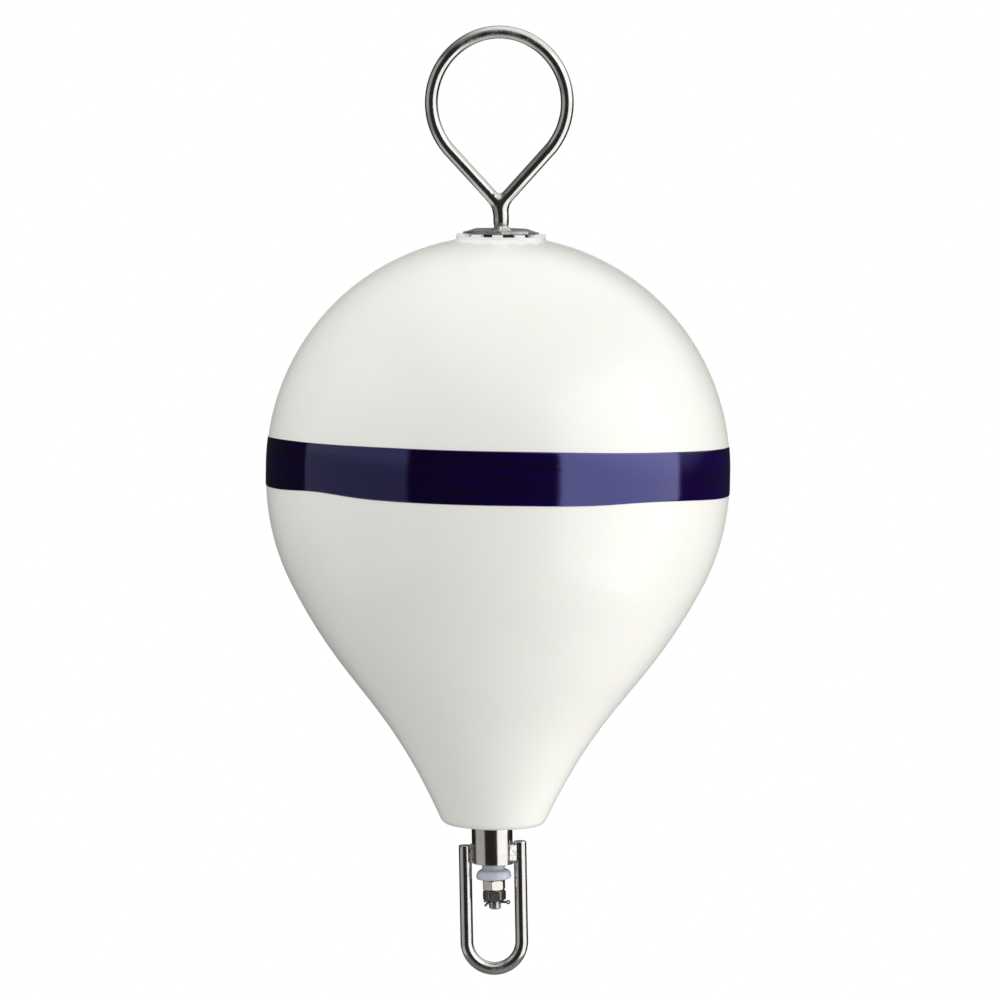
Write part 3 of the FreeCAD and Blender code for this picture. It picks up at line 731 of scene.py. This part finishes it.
for name, middle, depth, low, high, seed in (("bail_toe_left", -23.0, 4.3, 112.6, 130.2, 4),
                                             ("bail_toe_right", 24.8, 5.6, 113.8, 132.8, 9)):
    points, faces, normals = surface(toe_field(middle, depth, low, high, seed), (middle - 2.2, -7.0, low),
                                     (middle + 2.2, 7.0, high), 0.25)
    mesh_piece(name, points, faces, "swivel", "weld_metal", BURNT, normals)


# Nuts and split pin

NUT_FLATS, NUT_BORE, CHAMFER, NUT_TILT = 20.4, 6.1, math.radians(38), math.radians(2)


def nut_field(low, height, turn_deg, bevel, face_r):
    """Hexagon nut, tilted and shifted with the rod's end. bevel rounds its corners, face_r bounds its flat face."""
    middle = low + height / 2
    shift = float(end_shift(middle))

    def field(p):
        off, y, rise = p[..., 0] - shift, p[..., 1], p[..., 2] - middle
        x = off * math.cos(NUT_TILT) + rise * math.sin(NUT_TILT)
        z = np.abs(rise * math.cos(NUT_TILT) - off * math.sin(NUT_TILT))
        r = np.hypot(x, y)
        total = None
        for k in range(6):
            a = math.radians(turn_deg - 60 + 60 * k)
            flat = x * math.cos(a) + y * math.sin(a) - NUT_FLATS / 2
            total = flat if total is None else overlap(total, flat, bevel)
        cone = (r - face_r) * math.sin(CHAMFER) + (z - height / 2) * math.cos(CHAMFER)
        total = overlap(total, cone, 0.3)
        total = overlap(total, z - height / 2, 0.25)
        return overlap(total, NUT_BORE - r, 0.4)
    return field


for name, node, slot, material, low, height, *shape in (
        ("lock_nut_body", "lock_nut", "nut_steel", NUT, 85.5, 9.5, -11.0, 0.5, 10.4),
        ("end_nut_body", "end_nut", "dark_nut_steel", DARK_NUT, 74.5, 11.0, 32.5, 1.6, 9.3)):
    points, faces, normals = surface(nut_field(low, height, *shape), (-12.5, -12.5, low - 1.2),
                                     (14, 12.5, low + height + 1.2), 0.3)
    nut = mesh_piece(name, points, faces, "rod", slot, material, normals)
    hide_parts(node)


EYE_X, EYE_R, PIN_R, OPEN_X = 15.6, 1.45, 0.78, -4.0
PIN_LEGS = ((0.38, (-5.4, -0.5, PIN_Z + 0.5), (-7.6, -1.4, PIN_Z + 0.8)),
            (-0.38, (-4.6, -0.3, PIN_Z - 1.4), (-6.8, -1.1, PIN_Z - 3.4)))


def pin_field(p):
    """Split pin: two half-round legs from one eye, opened and bent back at the other side."""
    total = planar_arc(p, (EYE_X, PIN_Z), EYE_R, -math.pi, math.pi - 1e-3) - PIN_R
    for lift, knee, tail in PIN_LEGS:
        opens = (OPEN_X, 0, PIN_Z + lift)
        stem = segment(p, opens, (EYE_X - 1.9, 0, PIN_Z + lift), PIN_R)
        bent = join(segment(p, opens, knee, 0.85, 1.1), segment(p, knee, tail, 1.1, 1.25), 0.4)
        total = join(total, join(stem, bent, 0.3), 0.25)
    return join(total, segment(p, (EYE_X - 2.4, 0, PIN_Z), (EYE_X - 1.5, 0, PIN_Z), 0.95), 0.5)


points, faces, normals = surface(pin_field, (-9.4, -3.4, 67.6), (18.6, 1.6, 76), 0.18)
pin = mesh_piece("split_pin_wire", points, faces, "rod", "pin_steel", PIN, normals)
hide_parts("split_pin")


# Plate: its back edge bent up a little, and its ends ground thin from above

PLATE_CORNER, PLATE_BEND, BEND_FROM, BEND_TO, PLATE_THIN, THIN_FROM = 37.5, 1.2, 6, 36, 1.8, 24


def plate_field(p):
    """Octagonal plate with a hole a little smaller than the rod."""
    x, y = p[..., 0], p[..., 1]
    z = p[..., 2] - PLATE_BEND * smoothstep(BEND_FROM, BEND_TO, y)
    flat = PLATE_CORNER * math.cos(math.pi / 8)
    total = ROD_R - 1 - np.hypot(x, y)
    for k in range(8):
        a = (k + 0.5) * math.pi / 4
        total = overlap(total, x * math.cos(a) + y * math.sin(a) - flat, 0.5)
    end = np.clip((np.abs(x) - THIN_FROM) / (PLATE_CORNER - THIN_FROM), 0, 1)
    total = overlap(total, z - PLATE_TOP + PLATE_THIN * end, 0.5)
    return overlap(total, PLATE_LOW - z, 0.3)


points, faces, normals = surface(plate_field, (-38.2, -38.2, 735.4), (38.2, 38.2, 741.2), 0.45)
plate = mesh_piece("octagon_plate", points, faces, "rod", "plate_steel", PLATE, normals)
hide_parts("top_plate")


# Weld round the stem on the plate

COLLAR_H = 4.8


def ragged(r, z, a):
    """Lets the weld's foot and crest wander."""
    t = (z - PLATE_TOP) / COLLAR_H
    swell = 0.45 * np.sin(3 * a + 0.6) + 0.35 * np.sin(7 * a + 2.1)
    swell = swell + 0.25 * np.sin(11 * a + z) + 0.2 * np.sin(17 * a)
    reach = np.where(r > ROD_R, 1.0, 0.0)
    return r + reach * swell * (0.5 + 0.5 * np.cos(math.pi * t)) * 0.9, z + swell * 0.5 * np.clip(t, 0, 1)


profile = [(ROD_R - 0.5, PLATE_TOP + 4.4), (ROD_R + 0.05, PLATE_TOP + 4.7), (ROD_R + 0.5, PLATE_TOP + 4.2)]
profile += [(ROD_R + 0.6 + 3.0 * t ** 1.4, PLATE_TOP + 3.7 - 3.6 * t) for t in np.linspace(0.1, 1, 8)]
profile += [(ROD_R + 3.7, PLATE_TOP - 0.1), (ROD_R - 0.4, PLATE_TOP - 0.1)]
collar = mesh_piece("plate_bead", *revolve(profile, 120, ragged), "rod", "weld_metal", WELD)
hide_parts("plate_weld")


# Girth tape: laid by hand, so its edges lean and its lower edge wanders

TAPE_HIGH = dict(middle=531.5, lean=-2.4, bow=5.6)
TAPE_LOW = dict(middle=484.0, lean=-2.4, bow=1.5)
TAPE_LIFTS = ((-50, 13, 3.6), (36, 12, 1.6), (50, 18, 2.4))
TAPE_IN, TAPE_OUT, TAPE_FACE = -0.15, 0.12, 0.42


def body_radius(z):
    """Radius of the float's girth at a height."""
    off = np.maximum(z - HIGH_Z, 0) + np.minimum(z - LOW_Z, 0)
    return np.sqrt(FLOAT_R ** 2 - off ** 2)


def tape_edge(azimuth, middle, lean, bow):
    """Height of a tape edge at angles from the front, towards +X."""
    loose = 0.15 * np.sin(5 * azimuth + 1.0) + 0.12 * np.sin(9 * azimuth)
    return middle + lean * np.sin(azimuth) + bow * np.cos(azimuth) + loose


turn_at = np.linspace(-math.pi, math.pi, 384, endpoint=False)
high_edge = tape_edge(turn_at, **TAPE_HIGH)
low_edge = tape_edge(turn_at, **TAPE_LOW)
for middle, width, lift in TAPE_LIFTS:
    low_edge += lift * np.exp(-((np.degrees(turn_at) - middle) / width) ** 2)
across = np.concatenate([[0, 0.012], np.linspace(0.03, 0.97, 11), [0.988, 1]])
z = low_edge[None] + (high_edge - low_edge)[None] * across[:, None]
edge_soft = np.ones(len(across))
edge_soft[0] = edge_soft[-1] = 0.35
radius = body_radius(z) + TAPE_OUT + TAPE_FACE * edge_soft[:, None]
inner = body_radius(z[[-1, 0]]) + TAPE_IN
a = turn_at - math.pi / 2
outer = np.stack([radius * np.cos(a), radius * np.sin(a), z], -1)
back = np.stack([inner * np.cos(a), inner * np.sin(a), z[[-1, 0]]], -1)
points, faces = ring_mesh(np.concatenate([outer, back, outer[:1]]))
tape = mesh_piece("girth_tape_strip", points, faces, "float", "navy_tape", TAPE)
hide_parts("girth_tape")


# Camera

scene = bpy.context.scene
ahead = Vector((0, math.cos(PITCH), -math.sin(PITCH)))
right_way = Vector((1, 0, 0))
up_way = Vector((0, math.sin(PITCH), math.cos(PITCH)))
cam_right = right_way * math.cos(ROLL) + up_way * math.sin(ROLL)
cam_up = up_way * math.cos(ROLL) - right_way * math.sin(ROLL)
camera = bpy.data.objects.new("camera", bpy.data.cameras.new("camera"))
camera.data.sensor_fit = "HORIZONTAL"
camera.data.sensor_width = SENSOR
camera.data.lens = FOCAL * SENSOR / PICTURE
camera.data.clip_start, camera.data.clip_end = 0.1, 100
rotation = Matrix((cam_right, cam_up, -ahead)).transposed()
stand = Vector((CAMERA_X, -CAMERA_FAR, CAMERA_Z)) * MM
camera.matrix_world = Matrix.Translation(stand) @ rotation.to_4x4()
scene.collection.objects.link(camera)
scene.camera = camera
scene.view_settings.view_transform = "Standard"


# Light and stage

def soft_box(name, azimuth, distance, along, low, high, span, radiance, shade=True, shine=True):
    """Upright rectangle of light facing the buoy.

    Its azimuth is in degrees from the front towards +X, and its distance, shift along its width, low and
    high edge and width are in metres. shade lights matt surfaces, and shine is mirrored in glossy ones.
    """
    a = math.radians(azimuth)
    n = Vector((math.sin(a), -math.cos(a), 0))
    e = Vector((math.cos(a), math.sin(a), 0))
    lamp = bpy.data.lights.new(name, "AREA")
    lamp.shape = "RECTANGLE"
    lamp.size, lamp.size_y = span, high - low
    lamp.energy = radiance * math.pi * span * (high - low)
    lamp.normalize = True
    box = bpy.data.objects.new(name, lamp)
    box.rotation_mode = "QUATERNION"
    box.rotation_quaternion = n.to_track_quat("Z", "Y")
    box.location = n * distance + e * along + Vector((0, 0, (low + high) / 2))
    box.visible_camera = False
    box.visible_diffuse, box.visible_glossy = shade, shine
    scene.collection.objects.link(box)


# The left box is in three parts, dimmer in its middle. The right one only shines in glossy surfaces, and
# the fills only light matt ones
soft_box("softbox_left_low", -78, 1.6, 0.173, -1.0, 0.16, 1.92, 0.48)
soft_box("softbox_left_middle", -78, 1.6, 0.173, 0.16, 0.62, 1.92, 0.25)
soft_box("softbox_left_top", -78, 1.6, 0.173, 0.62, 1.94, 1.92, 0.44)
soft_box("softbox_right", 66, 1.6, -0.153, -1.0, 1.94, 2.10, 1.5, shade=False)
soft_box("fill_right", 42, 1.66, -0.153, -1.0, 1.94, 2.10, 0.49, shine=False)
soft_box("fill_low_right", 80, 1.5, 0.0, -1.1, 0.1, 1.6, 2.9, shine=False)

# World: the camera sees white. Matt surfaces see an even light that is brighter overhead and from behind.
# Steel sees a dark room with a ceiling that is pale except behind the buoy, and the white backdrop
world = bpy.data.worlds.new("studio")
scene.world = world
world.use_nodes = True
sky = Tree(world.node_tree)
direction = sky.add("SeparateXYZ", {0: sky.add("TexCoord").outputs["Generated"]}).outputs
path = sky.add("LightPath").outputs
behind = sky.ramp(direction["Y"], 0.0, 1.0, 0.0, 0.45)
even = sky.math("ADD", sky.ramp(direction["Z"], 0.5, 1.0, 0.60, 1.55), behind)
backdrop = sky.ramp(direction["Y"], 0.985, 0.998, 0.02, 1.0)
ceiling = sky.ramp(sky.math("MULTIPLY_ADD", direction["X"], 0.5, direction["Z"]), 0.42, 0.90, 0.0, 1.3)
ceiling = sky.math("MULTIPLY", ceiling, sky.ramp(direction["Y"], 0.68, 0.90, 1.0, 0.0))
ceiling = sky.math("MAXIMUM", ceiling, sky.ramp(direction["Z"], 0.35, 0.65, 0.0, 0.2))
glossy = sky.math("MAXIMUM", path["Is Glossy Ray"], path["Is Transmission Ray"])
room = sky.math("MAXIMUM", backdrop, ceiling)
level = sky.blend(path["Is Camera Ray"], sky.blend(glossy, even, room), 1.0)
background = sky.add("Background", {"Color": (1, 1, 1, 1), "Strength": level})
sky.link(background.outputs[0], sky.add("OutputWorld").inputs["Surface"])

# Floor: nearly white to the camera with a faint shadow, and duller for the light that it throws back
FLOOR_Z, FLOOR_R, FLOOR_SIDES = -1.2, 3.2, 96
m = Nodes("floor")
m.tree.nodes.remove(m.shader)
cloth = m.add("BsdfDiffuse", {"Color": (0.35, 0.35, 0.345, 1)})
faint = m.add("BsdfDiffuse", {"Color": (0.15, 0.15, 0.15, 1)})
glow = m.add("Emission", {"Color": (1, 1, 1, 1), "Strength": 0.93})
white = m.add("AddShader", {0: faint.outputs[0], 1: glow.outputs[0]})
dull = m.add("BsdfDiffuse", {"Color": (0.17, 0.17, 0.17, 1)})
ray = m.add("LightPath").outputs
plain_floor = m.add("MixShader", {0: ray["Is Glossy Ray"], 1: cloth.outputs[0], 2: dull.outputs[0]})
seen_floor = m.add("MixShader", {0: ray["Is Camera Ray"], 1: plain_floor.outputs[0], 2: white.outputs[0]})
m.link(seen_floor.outputs[0], m.out.inputs["Surface"])
around = [2 * math.pi * k / FLOOR_SIDES for k in range(FLOOR_SIDES)]
verts = [(0, 0, 0)] + [(FLOOR_R * math.cos(a), FLOOR_R * math.sin(a), 0) for a in around]
faces = [(0, k + 1, (k + 1) % FLOOR_SIDES + 1) for k in range(FLOOR_SIDES)]
mesh = bpy.data.meshes.new("floor")
mesh.from_pydata(verts, [], faces)
mesh.materials.append(m.material)
floor = bpy.data.objects.new("floor", mesh)
floor.location.z = FLOOR_Z
scene.collection.objects.link(floor)
